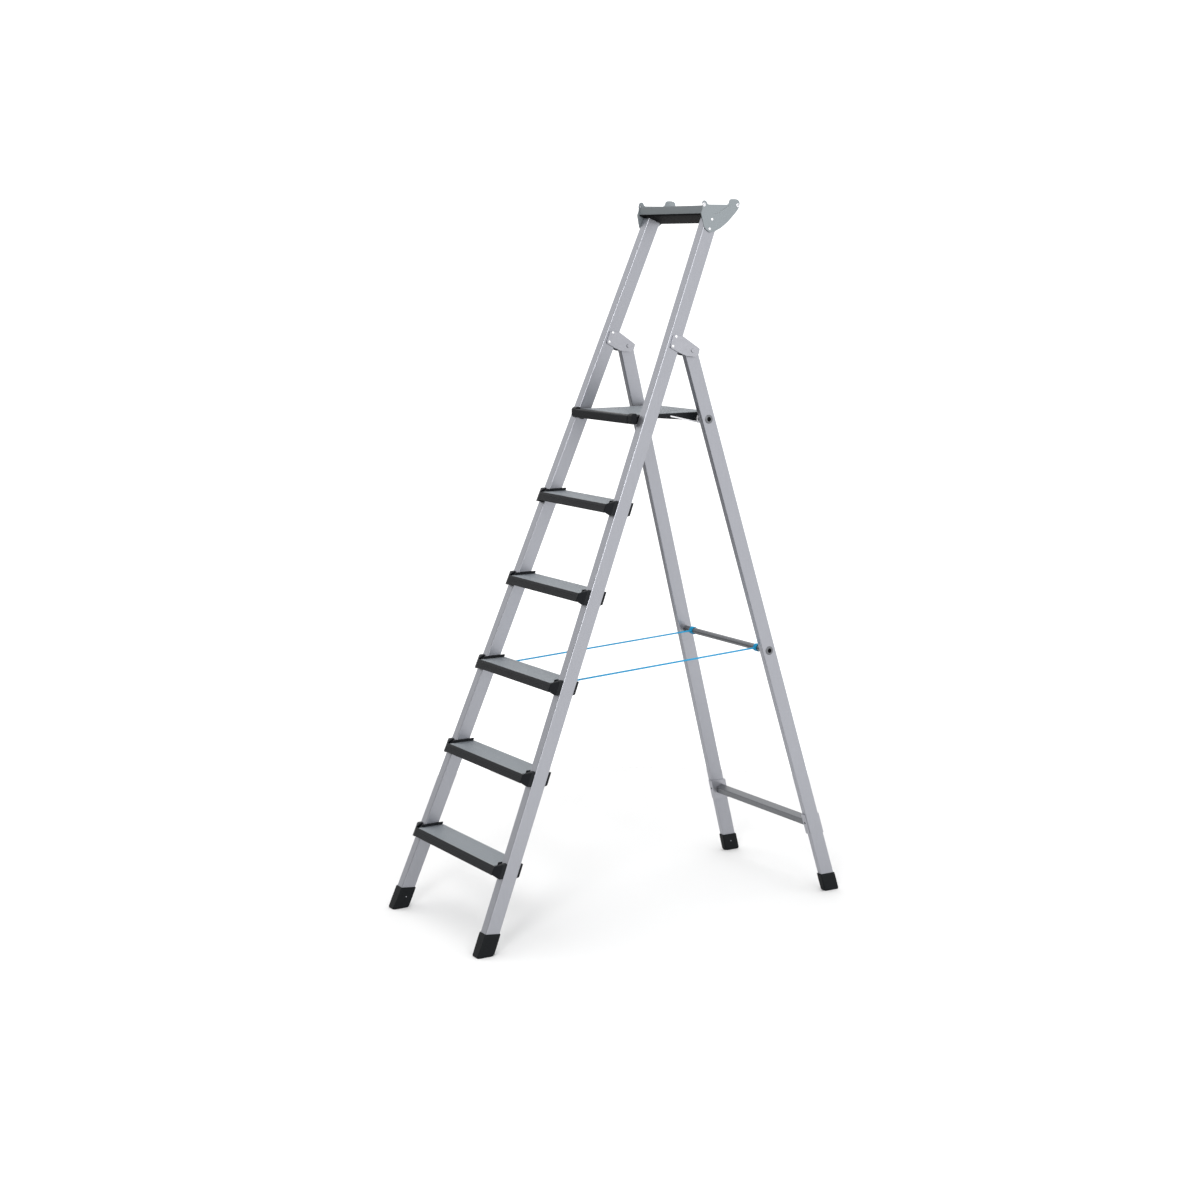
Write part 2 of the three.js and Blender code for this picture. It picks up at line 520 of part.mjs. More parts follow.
// ---- Straps: one band on each side, fixed behind a step and sewn round the middle crossbar ----
const STRAP_STEP = 3;
const STRAP_WIDTH = 14;
const STRAP_THICK = 1.8;
const STRAP_INSET = 35; // middle of a strap to the inner face of the stile beside it
const strapZ = stepTop(STRAP_STEP) - 10;
const strapX = stileInner(strapZ) - STRAP_INSET;
const strapSides = [strapX - STRAP_WIDTH / 2, strapX + STRAP_WIDTH / 2];
const loopInside = BAR_RADIUS + GAP;
const loopOutline = circle(middleBar, loopInside + STRAP_THICK);
const loop = plate(loopOutline, ...strapSides, [circle(middleBar, loopInside)]);
const bandStart = stileFront(stepTop(STRAP_STEP)) + treadEnd + GAP;
const bandEnd = middleBar.y - loopInside - STRAP_THICK / 2;
const halfThick = STRAP_THICK / 2;
const bandOutline = [[bandStart, strapZ - halfThick], [bandEnd, middleBar.z - halfThick]];
bandOutline.push([bandEnd, middleBar.z + halfThick], [bandStart, strapZ + halfThick]);
addPair("front_frame", "strap", join(plate(bandOutline, ...strapSides), loop), WEBBING);

// ---- The origin is the middle of the ladder's footprint, on the floor ----
group.updateMatrixWorld(true);
const bounds = new THREE.Box3().setFromObject(group);
const shift = -(bounds.min.y + bounds.max.y) / 2;
group.traverse((node) => {
  if (node.isMesh) {
    node.geometry.translate(0, shift, 0);
  }
});

export default group;
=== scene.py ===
import math

import bmesh
import bpy
from mathutils import Matrix, Vector


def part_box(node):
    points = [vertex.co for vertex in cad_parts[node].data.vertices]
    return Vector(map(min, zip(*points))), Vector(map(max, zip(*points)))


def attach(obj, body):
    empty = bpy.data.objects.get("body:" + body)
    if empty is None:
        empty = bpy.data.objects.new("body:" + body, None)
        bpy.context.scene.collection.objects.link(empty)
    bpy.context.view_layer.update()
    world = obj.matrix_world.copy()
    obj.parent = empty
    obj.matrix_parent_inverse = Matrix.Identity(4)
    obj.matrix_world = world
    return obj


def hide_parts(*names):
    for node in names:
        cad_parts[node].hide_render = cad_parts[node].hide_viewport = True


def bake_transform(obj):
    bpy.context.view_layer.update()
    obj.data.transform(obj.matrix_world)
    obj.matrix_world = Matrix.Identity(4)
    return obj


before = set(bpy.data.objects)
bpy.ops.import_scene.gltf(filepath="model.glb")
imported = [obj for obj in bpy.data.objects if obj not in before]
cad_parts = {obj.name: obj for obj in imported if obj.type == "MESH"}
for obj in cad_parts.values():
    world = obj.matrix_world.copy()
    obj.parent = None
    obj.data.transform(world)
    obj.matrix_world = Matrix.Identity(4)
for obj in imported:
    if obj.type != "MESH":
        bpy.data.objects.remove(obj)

bl_info = {
    "name": "Step ladder",
    "version": (1, 0, 0),
    "blender": (4, 5, 0),
    "location": "3D View > Sidebar > Ladder",
    "description": "Builds the detailed pieces and finishes of a folding step ladder",
    "category": "Object",
}

MM = 0.001
SIDES = (("right", 1), ("left", -1))

# ---- The ladder's main sizes, in millimetres, as its solids have them ----
RISE = 235
STEPS = 5
FIRST_STEP_TOP = 231
HALF_WIDTH = 269.4
TAPER = 0.0548
STILE_SLOPE = 0.4069
STILE_WIDTH = 31
STILE_DEPTH = 43.7
LEG_SLOPE = 0.2785
LEG_WIDTH = 18
LEG_DEPTH = 45.1
WALL = 2
GAP = 0.3
BAR_RADIUS = 9
TREAD_HEIGHT = 23
PLATFORM_TOP = FIRST_STEP_TOP + RISE * STEPS
TOP_Z = PLATFORM_TOP + 542.6
# The solids' own origin is in the middle of the footprint, this far behind the stiles' front line.
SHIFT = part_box("stile_right")[0].y / MM - STILE_SLOPE * (4 + GAP)
HINGE_Z = PLATFORM_TOP + 173.5
HINGE_Y = STILE_SLOPE * HINGE_Z + STILE_DEPTH + 21.9 + LEG_DEPTH / 2 + SHIFT


def stile_front(z):
    return STILE_SLOPE * z + SHIFT


def stile_inner(z):
    return HALF_WIDTH - TAPER * z - STILE_WIDTH


def leg_middle(z):
    return HINGE_Y - LEG_SLOPE * (z - HINGE_Z)


def leg_inner(z):
    return stile_inner(z) + (STILE_WIDTH - LEG_WIDTH) / 2


def step_top(n):
    return FIRST_STEP_TOP + RISE * (n - 1)


# ---- Places: u is outward from the inner face of a tube, v is back from its front ----
def on_stile(u, v, z):
    return stile_inner(z) + u, stile_front(z) + v, z


def on_leg(u, v, z):
    return leg_inner(z) + u, leg_middle(z) - LEG_DEPTH / 2 + v, z


def beside_stile(u, y, z):
    return stile_inner(z) + u, y, z


def beside_leg(u, y, z):
    return leg_inner(z) + u, y, z


def as_drawn(x, y, z):
    return x, y, z


# ---- Outlines ----
def rounded(x0, x1, y0, y1, radius, pieces=6):
    points = []
    corners = ((x1, y0, -1, 1), (x1, y1, -1, -1), (x0, y1, 1, -1), (x0, y0, 1, 1))
    for corner, (x, y, sx, sy) in enumerate(corners):
        for i in range(pieces + 1):
            angle = (corner - 1 + i / pieces) * math.pi / 2
            along = x + sx * radius + radius * math.cos(angle)
            points.append((along, y + sy * radius + radius * math.sin(angle)))
    return points


def circle(y, z, radius, sides=48):
    turn = 2 * math.pi / sides
    return [(y + radius * math.cos(i * turn), z + radius * math.sin(i * turn)) for i in range(sides)]


def from_point(y, z, points):
    return [(y + dy, z + dz) for dy, dz in points]


# ---- Mesh making ----
def placed(bm, place):
    for vert in bm.verts:
        vert.co = place(*vert.co)


def mirror(bm):
    for vert in bm.verts:
        vert.co.x = -vert.co.x
    bmesh.ops.reverse_faces(bm, faces=bm.faces)


def bevel_edges(bm, amount, segments=2, least=0.5):
    sharp = [e for e in bm.edges if len(e.link_faces) == 2 and e.calc_face_angle(0) > least]
    if amount and sharp:
        bmesh.ops.bevel(
            bm,
            geom=sharp,
            offset=amount,
            segments=segments,
            profile=0.5,
            affect="EDGES",
            clamp_overlap=True,
            material=-1,
        )


def prism(outline, start, end, axis="x", holes=(), bevel=0.0, segments=2):
    """A solid between two values of axis. Its outline is in (y, z), or (x, z) along y, or (x, y) along z."""
    bm = bmesh.new()
    edges = []
    for loop in (outline, *holes):
        verts = [bm.verts.new((a, b, start)) for a, b in loop]
        edges += [bm.edges.new((verts[i - 1], verts[i])) for i in range(len(verts))]
    if holes:
        bmesh.ops.triangle_fill(bm, edges=edges, use_beauty=True)
    else:
        bm.faces.new(bm.verts)
    made = bmesh.ops.extrude_face_region(bm, geom=bm.faces[:])["geom"]
    moved = [item for item in made if isinstance(item, bmesh.types.BMVert)]
    bmesh.ops.translate(bm, verts=moved, vec=(0, 0, end - start))
    bmesh.ops.recalc_face_normals(bm, faces=bm.faces)
    bevel_edges(bm, bevel, segments)
    turned = {"x": lambda a, b, c: (c, a, b), "y": lambda a, b, c: (a, c, b), "z": as_drawn}[axis]
    placed(bm, turned)
    bmesh.ops.recalc_face_normals(bm, faces=bm.faces)
    return bm


def skin(rings, cap=True):
    """A closed skin over rings of equally many points."""
    bm = bmesh.new()
    loops = [[bm.verts.new(point) for point in ring] for ring in rings]
    for lower, upper in zip(loops, loops[1:]):
        for i in range(len(lower)):
            bm.faces.new((lower[i - 1], lower[i], upper[i], upper[i - 1]))
    if cap:
        bm.faces.new(loops[0][::-1])
        bm.faces.new(loops[-1])
    bmesh.ops.recalc_face_normals(bm, faces=bm.faces)
    return bm


def turned(profile, y, z, sides=48):
    """A round piece on an axis along x. The profile is (x, radius) pairs."""
    rings = [[(x, y + dy, z + dz) for dy, dz in circle(0, 0, max(radius, 0.02), sides)] for x, radius in profile]
    return skin(rings)


def wire(points, radius, sides=16):
    """A round wire through points, swept with square-on rings."""
    rings = []
    points = [Vector(point) for point in points]
    for i, point in enumerate(points):
        ahead = points[min(i + 1, len(points) - 1)] - points[max(i - 1, 0)]
        ahead.normalize()
        side = Vector((1, 0, 0)) if abs(ahead.x) < 0.9 else Vector((0, 0, 1))
        up = ahead.cross(side).normalized()
        side = up.cross(ahead)
        ring = [point + radius * (dy * side + dz * up) for dy, dz in circle(0, 0, 1, sides)]
        rings.append(ring)
    return skin(rings)


def merge(*parts):
    """One mesh of several."""
    whole = bmesh.new()
    for part in parts:
        mesh = bpy.data.meshes.new("part")
        part.to_mesh(mesh)
        part.free()
        whole.from_mesh(mesh)
        bpy.data.meshes.remove(mesh)
    return whole


def piece(node, bm, material, body, slot, place=as_drawn, left=False, replaces=None):
    """Turns a mesh drawn in millimetres into the shown piece for a node of the solid model."""
    placed(bm, place)
    if left:
        mirror(bm)
    bmesh.ops.scale(bm, vec=(MM, MM, MM), verts=bm.verts)
    mesh = bpy.data.meshes.new(f"{node}_looks")
    bm.to_mesh(mesh)
    bm.free()
    for polygon in mesh.polygons:
        polygon.use_smooth = True
    mesh.set_sharp_from_angle(angle=math.radians(40))
    mesh.materials.append(material)
    made = bpy.data.objects.new(f"{node}_looks", mesh)
    bpy.context.scene.collection.objects.link(made)
    weighted = made.modifiers.new("Even shading", "WEIGHTED_NORMAL")
    weighted.keep_sharp = True
    weighted.weight = 100
    if body:
        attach(made, body)
    names = (node,) if replaces is None else replaces
    if names:
        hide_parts(*names)
    return made


def pair(node, make, material, body, slot, place=as_drawn, ending=""):
    """The right piece and its mirror image."""
    for side, sign in SIDES:
        piece(f"{node}_{side}{ending}", make(), material, body, slot, place, left=sign < 0)


# ---- Materials ----
def texture_group(name, inputs, build):
    group = bpy.data.node_groups.new(name, "ShaderNodeTree")
    for label, value in inputs:
        socket = group.interface.new_socket(name=label, in_out="INPUT", socket_type="NodeSocketFloat")
        socket.default_value = value
    group.interface.new_socket(name="Mask", in_out="OUTPUT", socket_type="NodeSocketFloat")
    nodes, links = group.nodes, group.links
    source = nodes.new("NodeGroupInput")
    target = nodes.new("NodeGroupOutput")
    links.new(build(nodes, links, source), target.inputs["Mask"])
    return group


def scaled_noise(nodes, links, source, stretch, scale_label, detail):
    coords = nodes.new("ShaderNodeTexCoord")
    mapping = nodes.new("ShaderNodeMapping")
    mapping.inputs["Scale"].default_value = stretch
    links.new(coords.outputs["Object"], mapping.inputs["Vector"])
    noise = nodes.new("ShaderNodeTexNoise")
    noise.inputs["Detail"].default_value = detail
    links.new(mapping.outputs["Vector"], noise.inputs["Vector"])
    links.new(source.outputs[scale_label], noise.inputs["Scale"])
    return noise.outputs["Fac"]


def long_streaks(nodes, links, source):
    return scaled_noise(nodes, links, source, (1, 1, 0.012), "Scale", 3)


def cross_streaks(nodes, links, source):
    return scaled_noise(nodes, links, source, (0.02, 1, 1), "Scale", 3)


def speckle(nodes, links, source):
    return scaled_noise(nodes, links, source, (1, 1, 1), "Scale", 4)


def weave(nodes, links, source):
    coords = nodes.new("ShaderNodeTexCoord")
    waves = []
    for direction in ("X", "Y"):
        wave = nodes.new("ShaderNodeTexWave")
        wave.bands_direction = direction
        links.new(coords.outputs["Object"], wave.inputs["Vector"])
        links.new(source.outputs["Scale"], wave.inputs["Scale"])
        waves.append(wave.outputs["Fac"])
    product = nodes.new("ShaderNodeMath")
    product.operation = "MULTIPLY"
    for i, wave in enumerate(waves):
        links.new(wave, product.inputs[i])
    return product.outputs["Value"]


def finish(name, colour, roughness, metallic, group, scale, shade=0.06, spread=0.1, bump=0.0, specular=0.5):
    """A material whose colour, roughness and relief vary with one texture group."""
    material = bpy.data.materials.new(name)
    material.use_nodes = True
    nodes, links = material.node_tree.nodes, material.node_tree.links
    shader = nodes["Principled BSDF"]
    shader.inputs["Metallic"].default_value = metallic
    shader.inputs["Specular IOR Level"].default_value = specular
    mask = nodes.new("ShaderNodeGroup")
    mask.node_tree = group
    mask.inputs["Scale"].default_value = scale
    tint = nodes.new("ShaderNodeMix")
    tint.data_type = "RGBA"
    tint.inputs["A"].default_value = (*[channel * (1 - shade) for channel in colour], 1)
    tint.inputs["B"].default_value = (*[min(1, channel * (1 + shade)) for channel in colour], 1)
    links.new(mask.outputs["Mask"], tint.inputs["Factor"])
    links.new(tint.outputs["Result"], shader.inputs["Base Color"])
    gloss = nodes.new("ShaderNodeMapRange")
    gloss.inputs["To Min"].default_value = roughness - spread / 2
    gloss.inputs["To Max"].default_value = roughness + spread / 2
    links.new(mask.outputs["Mask"], gloss.inputs["Value"])
    links.new(gloss.outputs["Result"], shader.inputs["Roughness"])
    if bump:
        relief = nodes.new("ShaderNodeBump")
        relief.inputs["Strength"].default_value = bump
        relief.inputs["Distance"].default_value = 0.0003
        links.new(mask.outputs["Mask"], relief.inputs["Height"])
        links.new(relief.outputs["Normal"], shader.inputs["Normal"])
    return material


MATERIALS = {}


def make_materials():
    scale = [("Scale", 40.0)]
    along = texture_group("Long streaks", scale, long_streaks)
    crosswise = texture_group("Cross streaks", scale, cross_streaks)
    grain = texture_group("Speckle", scale, speckle)
    threads = texture_group("Weave", scale, weave)
    MATERIALS.update(
        tube=finish("Extruded aluminium", (0.33, 0.337, 0.367), 0.36, 0.9, along, 300, 0.05, 0.10),
        bar=finish("Drawn aluminium", (0.15, 0.155, 0.165), 0.36, 0.9, crosswise, 300, 0.05, 0.10),
        tread=finish("Grooved aluminium", (0.22, 0.24, 0.26), 0.5, 0.6, crosswise, 400, 0.07, 0.12),
        sheet=finish("Grey coated sheet", (0.235, 0.26, 0.275), 0.5, 0.45, grain, 220, 0.05, 0.10, 0.08),
        steel=finish("Zinc plated steel", (0.35, 0.355, 0.385), 0.36, 0.85, grain, 60, 0.08, 0.16),
        wire=finish("Bright wire", (0.80, 0.80, 0.82), 0.3, 0.4, grain, 60, 0.04, 0.10),
        plastic=finish("Black plastic", (0.004, 0.005, 0.007), 0.5, 0.0, grain, 900, 0.15, 0.12, 0.15, 0.2),
        sole=finish("Black rubber", (0.003, 0.004, 0.005), 0.55, 0.0, grain, 700, 0.15, 0.12, 0.2, 0.15),
        webbing=finish("Blue webbing", (0.008, 0.27, 0.50), 0.8, 0.0, threads, 180, 0.12, 0.10, 0.4, 0.2),
        # Near-black finish: painted shade under the tray and inside the crossbar ends, and also the colour of the
        # black lower rivets.
        dark=finish("Painted shade and black rivets", (0.003, 0.003, 0.004), 0.8, 0.0, grain, 50, 0.1, 0.1, 0.0, 0.1),
    )


# ---- Small fixings ----
def dome(u, y, z, radius=4.0, height=1.6, outward=1):
    """A rivet head whose foot lies at u on a face across the ladder."""
    steps = [(0, 1.0), (0.25, 0.99), (0.6, 0.86), (0.85, 0.6), (1.0, 0.25), (1.02, 0.0)]
    profile = [(u + outward * (share * height - 0.15), radius * width) for share, width in steps]
    return turned(profile, y, z, 24)


def front_dome(u, v, z, radius=3.0, height=1.2):
    """A rivet head that stands ahead of a face at v."""
    steps = [(0, 1.0), (0.25, 0.99), (0.6, 0.86), (0.85, 0.6), (1.0, 0.25), (1.02, 0.01)]
    rings = []
    for share, width in steps:
        level = v - share * height + 0.15
        rings.append([(u + a * width, level, z + b * width) for a, b in circle(0, 0, radius, 24)])
    return skin(rings)


# ---- Groups of pieces ----
def hollow_tube(width, depth, corner, bottom, top, place):
    """A tube with rounded corners and open ends, which top(v) cuts."""
    outside = rounded(0, width, 0, depth, corner)
    inside = rounded(WALL, width - WALL, WALL, depth - WALL, corner - WALL / 2)

    def ring(outline, upper):
        return [place(u, v, top(v) if upper else bottom) for u, v in outline]

    rings = [ring(outside, False), ring(outside, True), ring(inside, True), ring(inside, False)]
    return closed_round(rings)


def closed_round(rings):
    """A skin whose last ring joins its first, as round a tube's wall."""
    bm = skin([*rings, rings[0]], cap=False)
    bmesh.ops.remove_doubles(bm, verts=bm.verts, dist=0.0001)
    bmesh.ops.recalc_face_normals(bm, faces=bm.faces)
    return bm


FLOOR_FALL = 0.387
TRAY_SHEET = 2.5


def stile_top(v):
    under = TOP_Z + 5 - FLOOR_FALL * 15 - TRAY_SHEET * 1.07 - 0.5
    return (under - FLOOR_FALL * v + FLOOR_FALL * STILE_SLOPE * TOP_Z) / (1 + FLOOR_FALL * STILE_SLOPE)


def leg_top(v):
    return HINGE_Z + 23.5 - 24 * v / LEG_DEPTH


def build_tubes(settings):
    corner = settings.tube_corner / MM
    metal = MATERIALS["tube"]

    def stile():
        return hollow_tube(STILE_WIDTH, STILE_DEPTH, corner, 4.5, stile_top, on_stile)

    def leg():
        return hollow_tube(LEG_WIDTH, LEG_DEPTH, corner, 4.5, leg_top, on_leg)

    for side, sign in SIDES:
        piece(f"stile_{side}", stile(), metal, "front_frame", "aluminium_tube", left=sign < 0)
        piece(f"leg_{side}", leg(), metal, "rear_frame", "aluminium_tube", left=sign < 0)


def grooved(y0, y1, top, pitch, depth):
    """The grooved top of a tread, from back to front."""
    count = int((y1 - y0) / pitch)
    start = (y0 + y1 - count * pitch) / 2
    points = []
    for i in reversed(range(count)):
        y = start + i * pitch
        points += [(y + pitch * 0.72, top), (y + pitch * 0.60, top - depth)]
        points += [(y + pitch * 0.34, top - depth), (y + pitch * 0.22, top)]
    return points


def build_steps(settings):
    pitch, depth = settings.groove_pitch / MM, settings.groove_depth / MM
    plastic = MATERIALS["plastic"]
    start, back = -20.4, 62.0
    for n in range(1, STEPS + 1):
        z = step_top(n)
        front = stile_front(z)
        low = -TREAD_HEIGHT
        section = [(start, low), (back - 3, low), (back - 0.8, low + 0.9), (back, low + 3), (back, -4)]
        section += [(back - 1.2, -1.2), (back - 4, 0), *grooved(start + 3, back - 6, 0, pitch, depth), (start, 0)]
        cells = []
        for a, b in ((start + 1.8, 19.9), (21.7, back - 4)):
            cells.append([(a, low + 1.8), (b, low + 1.8), (b, -2.6), (a, -2.6)])
        holes = [from_point(front, z, cell) for cell in cells]
        reach = stile_inner(z) - 2.7 - 2 * GAP
        tread = prism(from_point(front, z, section), -reach, reach, holes=holes)
        piece(f"step_tread_{n}", tread, MATERIALS["tread"], "front_frame", "grooved_tread")

        lean = STILE_SLOPE * TREAD_HEIGHT
        nose = [(-20.7, low), (-22 - lean, low), (-24 - lean * 0.92, low + 2), (-24, -1.5), (-23, 0), (-20.7, 0)]
        reach = stile_inner(z) + 6
        nosing = prism(from_point(front, z, nose), -reach, reach, bevel=0.5)
        ribs = []
        for height in (-6.5, -10.5, -14.5, -18.5):
            ahead = front - 24 + STILE_SLOPE * height
            rib = [(ahead + 1, z + height - 0.5), (ahead - 0.25, z + height - 0.35)]
            rib += [(ahead - 0.1, z + height + 0.35), (ahead + 1, z + height + 0.5)]
            ribs.append(prism(rib, -reach + 3, reach - 3))
        nosing = merge(nosing, *ribs)
        piece(f"step_nosing_{n}", nosing, plastic, "front_frame", "black_plastic")
        pair("step_end", lambda: step_end(z), plastic, "front_frame", "black_plastic", ending=f"_{n}")
        add_step_rivets(n, z)


def step_end(z):
    """The moulding at the end of a step: block, cheek and flange."""
    width, rear = STILE_WIDTH, STILE_DEPTH + GAP
    block = block_mesh(z)
    side = [(-10, -24), (8, -23), (rear, -26), (rear, -38), (rear + 12.5, -35), (rear + 12.5, 5)]
    side += [(rear + 10, 7.5), (-10, 7.5)]
    cheek = prism([(v, z + w) for v, w in side], -2.7, -GAP, bevel=0.5)
    flange = [(rear, -38), (rear + 12.5, -35), (rear + 12.5, -1), (rear, 0)]
    grip = prism([(v, z + w) for v, w in flange], -2.5, width * 0.7, bevel=1.0, segments=3)
    rib = prism([(rear + 3, z - 34), (rear + 13, z - 32), (rear + 13, z - 4), (rear + 3, z - 4)], 6, 8, bevel=0.4)
    whole = merge(block, cheek, grip, rib)
    placed(whole, on_stile)
    return whole


def block_mesh(z):
    """The faceted block ahead of the stile, drawn upright in (u, v, z)."""
    u1, top, low = STILE_WIDTH, 9, -30
    face = [(17, low), (u1 - 1, low), (u1, low + 1), (u1, top - 2), (u1 - 3, top), (17, top)]
    inner = [(6.6, -21), (6.6, 0.5)]
    bm = bmesh.new()
    points = [bm.verts.new((u, -GAP, z + w)) for u, w in face]
    points += [bm.verts.new((min(u, u1 - 0.8), -11, z + w * 0.97)) for u, w in face]
    points += [bm.verts.new((u, -23.5, z + w)) for u, w in inner]
    bmesh.ops.convex_hull(bm, input=points)
    spare = [vert for vert in bm.verts if not vert.link_faces]
    bmesh.ops.delete(bm, geom=spare, context="VERTS")
    bmesh.ops.dissolve_limit(bm, angle_limit=math.radians(2), verts=bm.verts, edges=bm.edges)
    bmesh.ops.recalc_face_normals(bm, faces=bm.faces)
    bevel_edges(bm, 0.9, 2, 0.35)
    link = prism([(-11, z - 22), (-GAP, z - 22), (-GAP, z + 1), (-11, z + 1)], -2.7, 14, bevel=0.3)
    return merge(bm, link)


def add_step_rivets(n, z):
    for side, sign in SIDES:
        screw = front_dome(23.5, -10.9, z - 15, 2.6, 1.1)
        piece(
            f"step_rivet_{side}_{n}",
            screw,
            MATERIALS["steel"],
            "front_frame",
            "bright_steel",
            on_stile,
            sign < 0,
            replaces=(),
        )


def foot(width, depth, place, rim_front, rim_fall):
    """A ribbed cup over the end of a tube, on a sole whose corners are rounded further."""
    flare, wall = 2, 2.3

    def ring(grow, spread, height, corner=3.2):
        points = rounded(-grow, width + grow, -grow - spread, depth + grow + spread, corner)
        return [place(u, v, height(v)) for u, v in points]

    def level(z):
        return lambda v: z

    def below_rim(drop):
        return lambda v: rim_front - rim_fall * v - drop

    rings = [ring(0.1, flare - 2.5, level(0), 7), ring(0.9, flare - 1.2, level(0.5), 7)]
    rings += [ring(1.7, flare - 0.5, level(1.8), 7), ring(wall, flare, level(5), 7)]
    for i in range(7):
        z = 9 + i * 4.2
        spread = flare * max(0.1, 1 - z / 45)
        corner = max(3.2, 7 - z * 0.13)
        for dz, inset in ((0, 0), (0.5, 0.4), (1.1, 0.4), (1.6, 0)):
            rings.append(ring(wall - inset, spread, level(z + dz), corner))
    rings += [ring(wall, 0.2, below_rim(2.4)), ring(wall - 0.4, 0.1, below_rim(0.7))]
    rings += [ring(wall - 1.1, 0, below_rim(0)), ring(GAP, 0, below_rim(0)), ring(GAP, 0, below_rim(6))]
    return skin(rings)


def build_feet(settings):
    rubber = MATERIALS["sole"]

    def front():
        return foot(STILE_WIDTH, STILE_DEPTH, on_stile, 61.5, 0.11)

    def rear():
        return foot(LEG_WIDTH, LEG_DEPTH, on_leg, 51.5, 0)

    pair("foot_front", front, rubber, "front_frame", "black_plastic")
    pair("foot_rear", rear, rubber, "rear_frame", "black_plastic")
    for side, sign in SIDES:
        inner = dome(-2.2, stile_front(33) + 24, 33, 1.7, 0.7, -1)
        piece(
            f"foot_front_rivet_{side}",
            inner,
            MATERIALS["steel"],
            "front_frame",
            "bright_steel",
            beside_stile,
            sign < 0,
            replaces=(),
        )
        inner = dome(-2.2, leg_middle(29), 29, 1.6, 0.7, -1)
        piece(
            f"foot_rear_rivet_{side}",
            inner,
            MATERIALS["steel"],
            "rear_frame",
            "bright_steel",
            beside_leg,
            sign < 0,
            replaces=(),
        )


BRACKET = [(-21.2, -14.2), (9.4, -17.5), (19.3, -10.9), (23.9, 4.5), (-30.2, 40), (-62.8, 43.1)]
BRACKET += [(-72.1, 15), (-72.3, 9.2), (-48, -3.1)]


def softened(outline, radius, pieces=4):
    """The outline with each corner rounded."""
    points = []
    for i, corner in enumerate(outline):
        here = Vector(corner)
        arms = []
        for other in (outline[i - 1], outline[(i + 1) % len(outline)]):
            arm = Vector(other) - here
            reach = min(radius, arm.length * 0.45)
            arms.append(here + arm.normalized() * reach)
        for k in range(pieces + 1):
            t = k / pieces
            point = (1 - t) ** 2 * arms[0] + 2 * t * (1 - t) * here + t * t * arms[1]
            points.append((point.x, point.y))
    return points


def build_hinges(settings):
    steel, plastic = MATERIALS["steel"], MATERIALS["plastic"]
    outline = from_point(HINGE_Y, HINGE_Z, softened(BRACKET, 2.5))

    def bracket():
        plates = [prism(outline, start, start + 3, bevel=0.6) for start in (-3.3, STILE_WIDTH + GAP)]
        for plate in plates:
            placed(plate, beside_stile)
        start, end = STILE_DEPTH + GAP, STILE_DEPTH + 3
        section = [(-3, start), (STILE_WIDTH + 3, start), (STILE_WIDTH + 3, end), (-3, end)]
        web = prism(section, HINGE_Z + 2, HINGE_Z + 34, axis="z")
        placed(web, on_stile)
        return merge(*plates, web)

    def pin():
        return turned(
            [(-5.8, 0), (-5.8, 4.2), (-5.4, 5.2), (-3.6, 5.8), (-3.6, 4), (34.6, 4), (34.6, 5.8)]
            + [(36.2, 5.2), (36.6, 4.2), (36.6, 0)],
            HINGE_Y,
            HINGE_Z,
        )

    pair("hinge_bracket", bracket, steel, "front_frame", "bright_steel")
    pair("hinge_pin", pin, steel, "front_frame", "bright_steel", beside_stile)
    for where, (start, end) in {"inner": (0, 5.9), "outer": (25.1, 31)}.items():

        def bush():
            hole = [circle(HINGE_Y, HINGE_Z, 4.3)]
            return prism(circle(HINGE_Y, HINGE_Z, 9), start, end, holes=hole, bevel=0.4)

        pair(f"hinge_spacer_{where}", bush, plastic, "front_frame", "black_plastic", beside_stile)
    for side, sign in SIDES:
        heads = [(-53, 39.5), (-70.5 + 6, 13.5)]
        rivets = [dome(STILE_WIDTH + 3.3, HINGE_Y + dy, HINGE_Z + dz, 4, 2) for dy, dz in heads]
        rivets += [dome(-3.3, HINGE_Y + dy, HINGE_Z + dz, 4, 2, -1) for dy, dz in heads]
        piece(
            f"hinge_rivets_{side}",
            merge(*rivets),
            MATERIALS["wire"],
            "front_frame",
            "bright_steel",
            beside_stile,
            sign < 0,
            replaces=(),
        )


FAN = [(-21.3, 5.1), (-13.4, -29.6), (-7.7, -38.3), (5.4, -46.4), (14.6, -45.3), (20.7, -44.2), (42, -34.6)]
FAN += [(66.3, -17.7), (87.4, 1.8), (99.8, 14.4), (108.8, 27), (107.5, 38), (102.5, 43.8), (92, 45.5)]
FAN += [(80, 45.5), (75.3, 42.5), (72.5, 34), (68, 29.8), (4, 29.8), (0.4, 32), (-3, 38.5), (-7, 41)]
FAN += [(-12.6, 40.8), (-16, 36), (-16.9, 15.9)]
SLOT = [(21, 1.5), (36, 6.5), (52, 14), (72, 26), (70.5, 28.4), (50.5, 16.6), (35, 9.2), (20, 4.2)]


def tray_floor(dy):
    return 5 - FLOOR_FALL * (dy + 15)


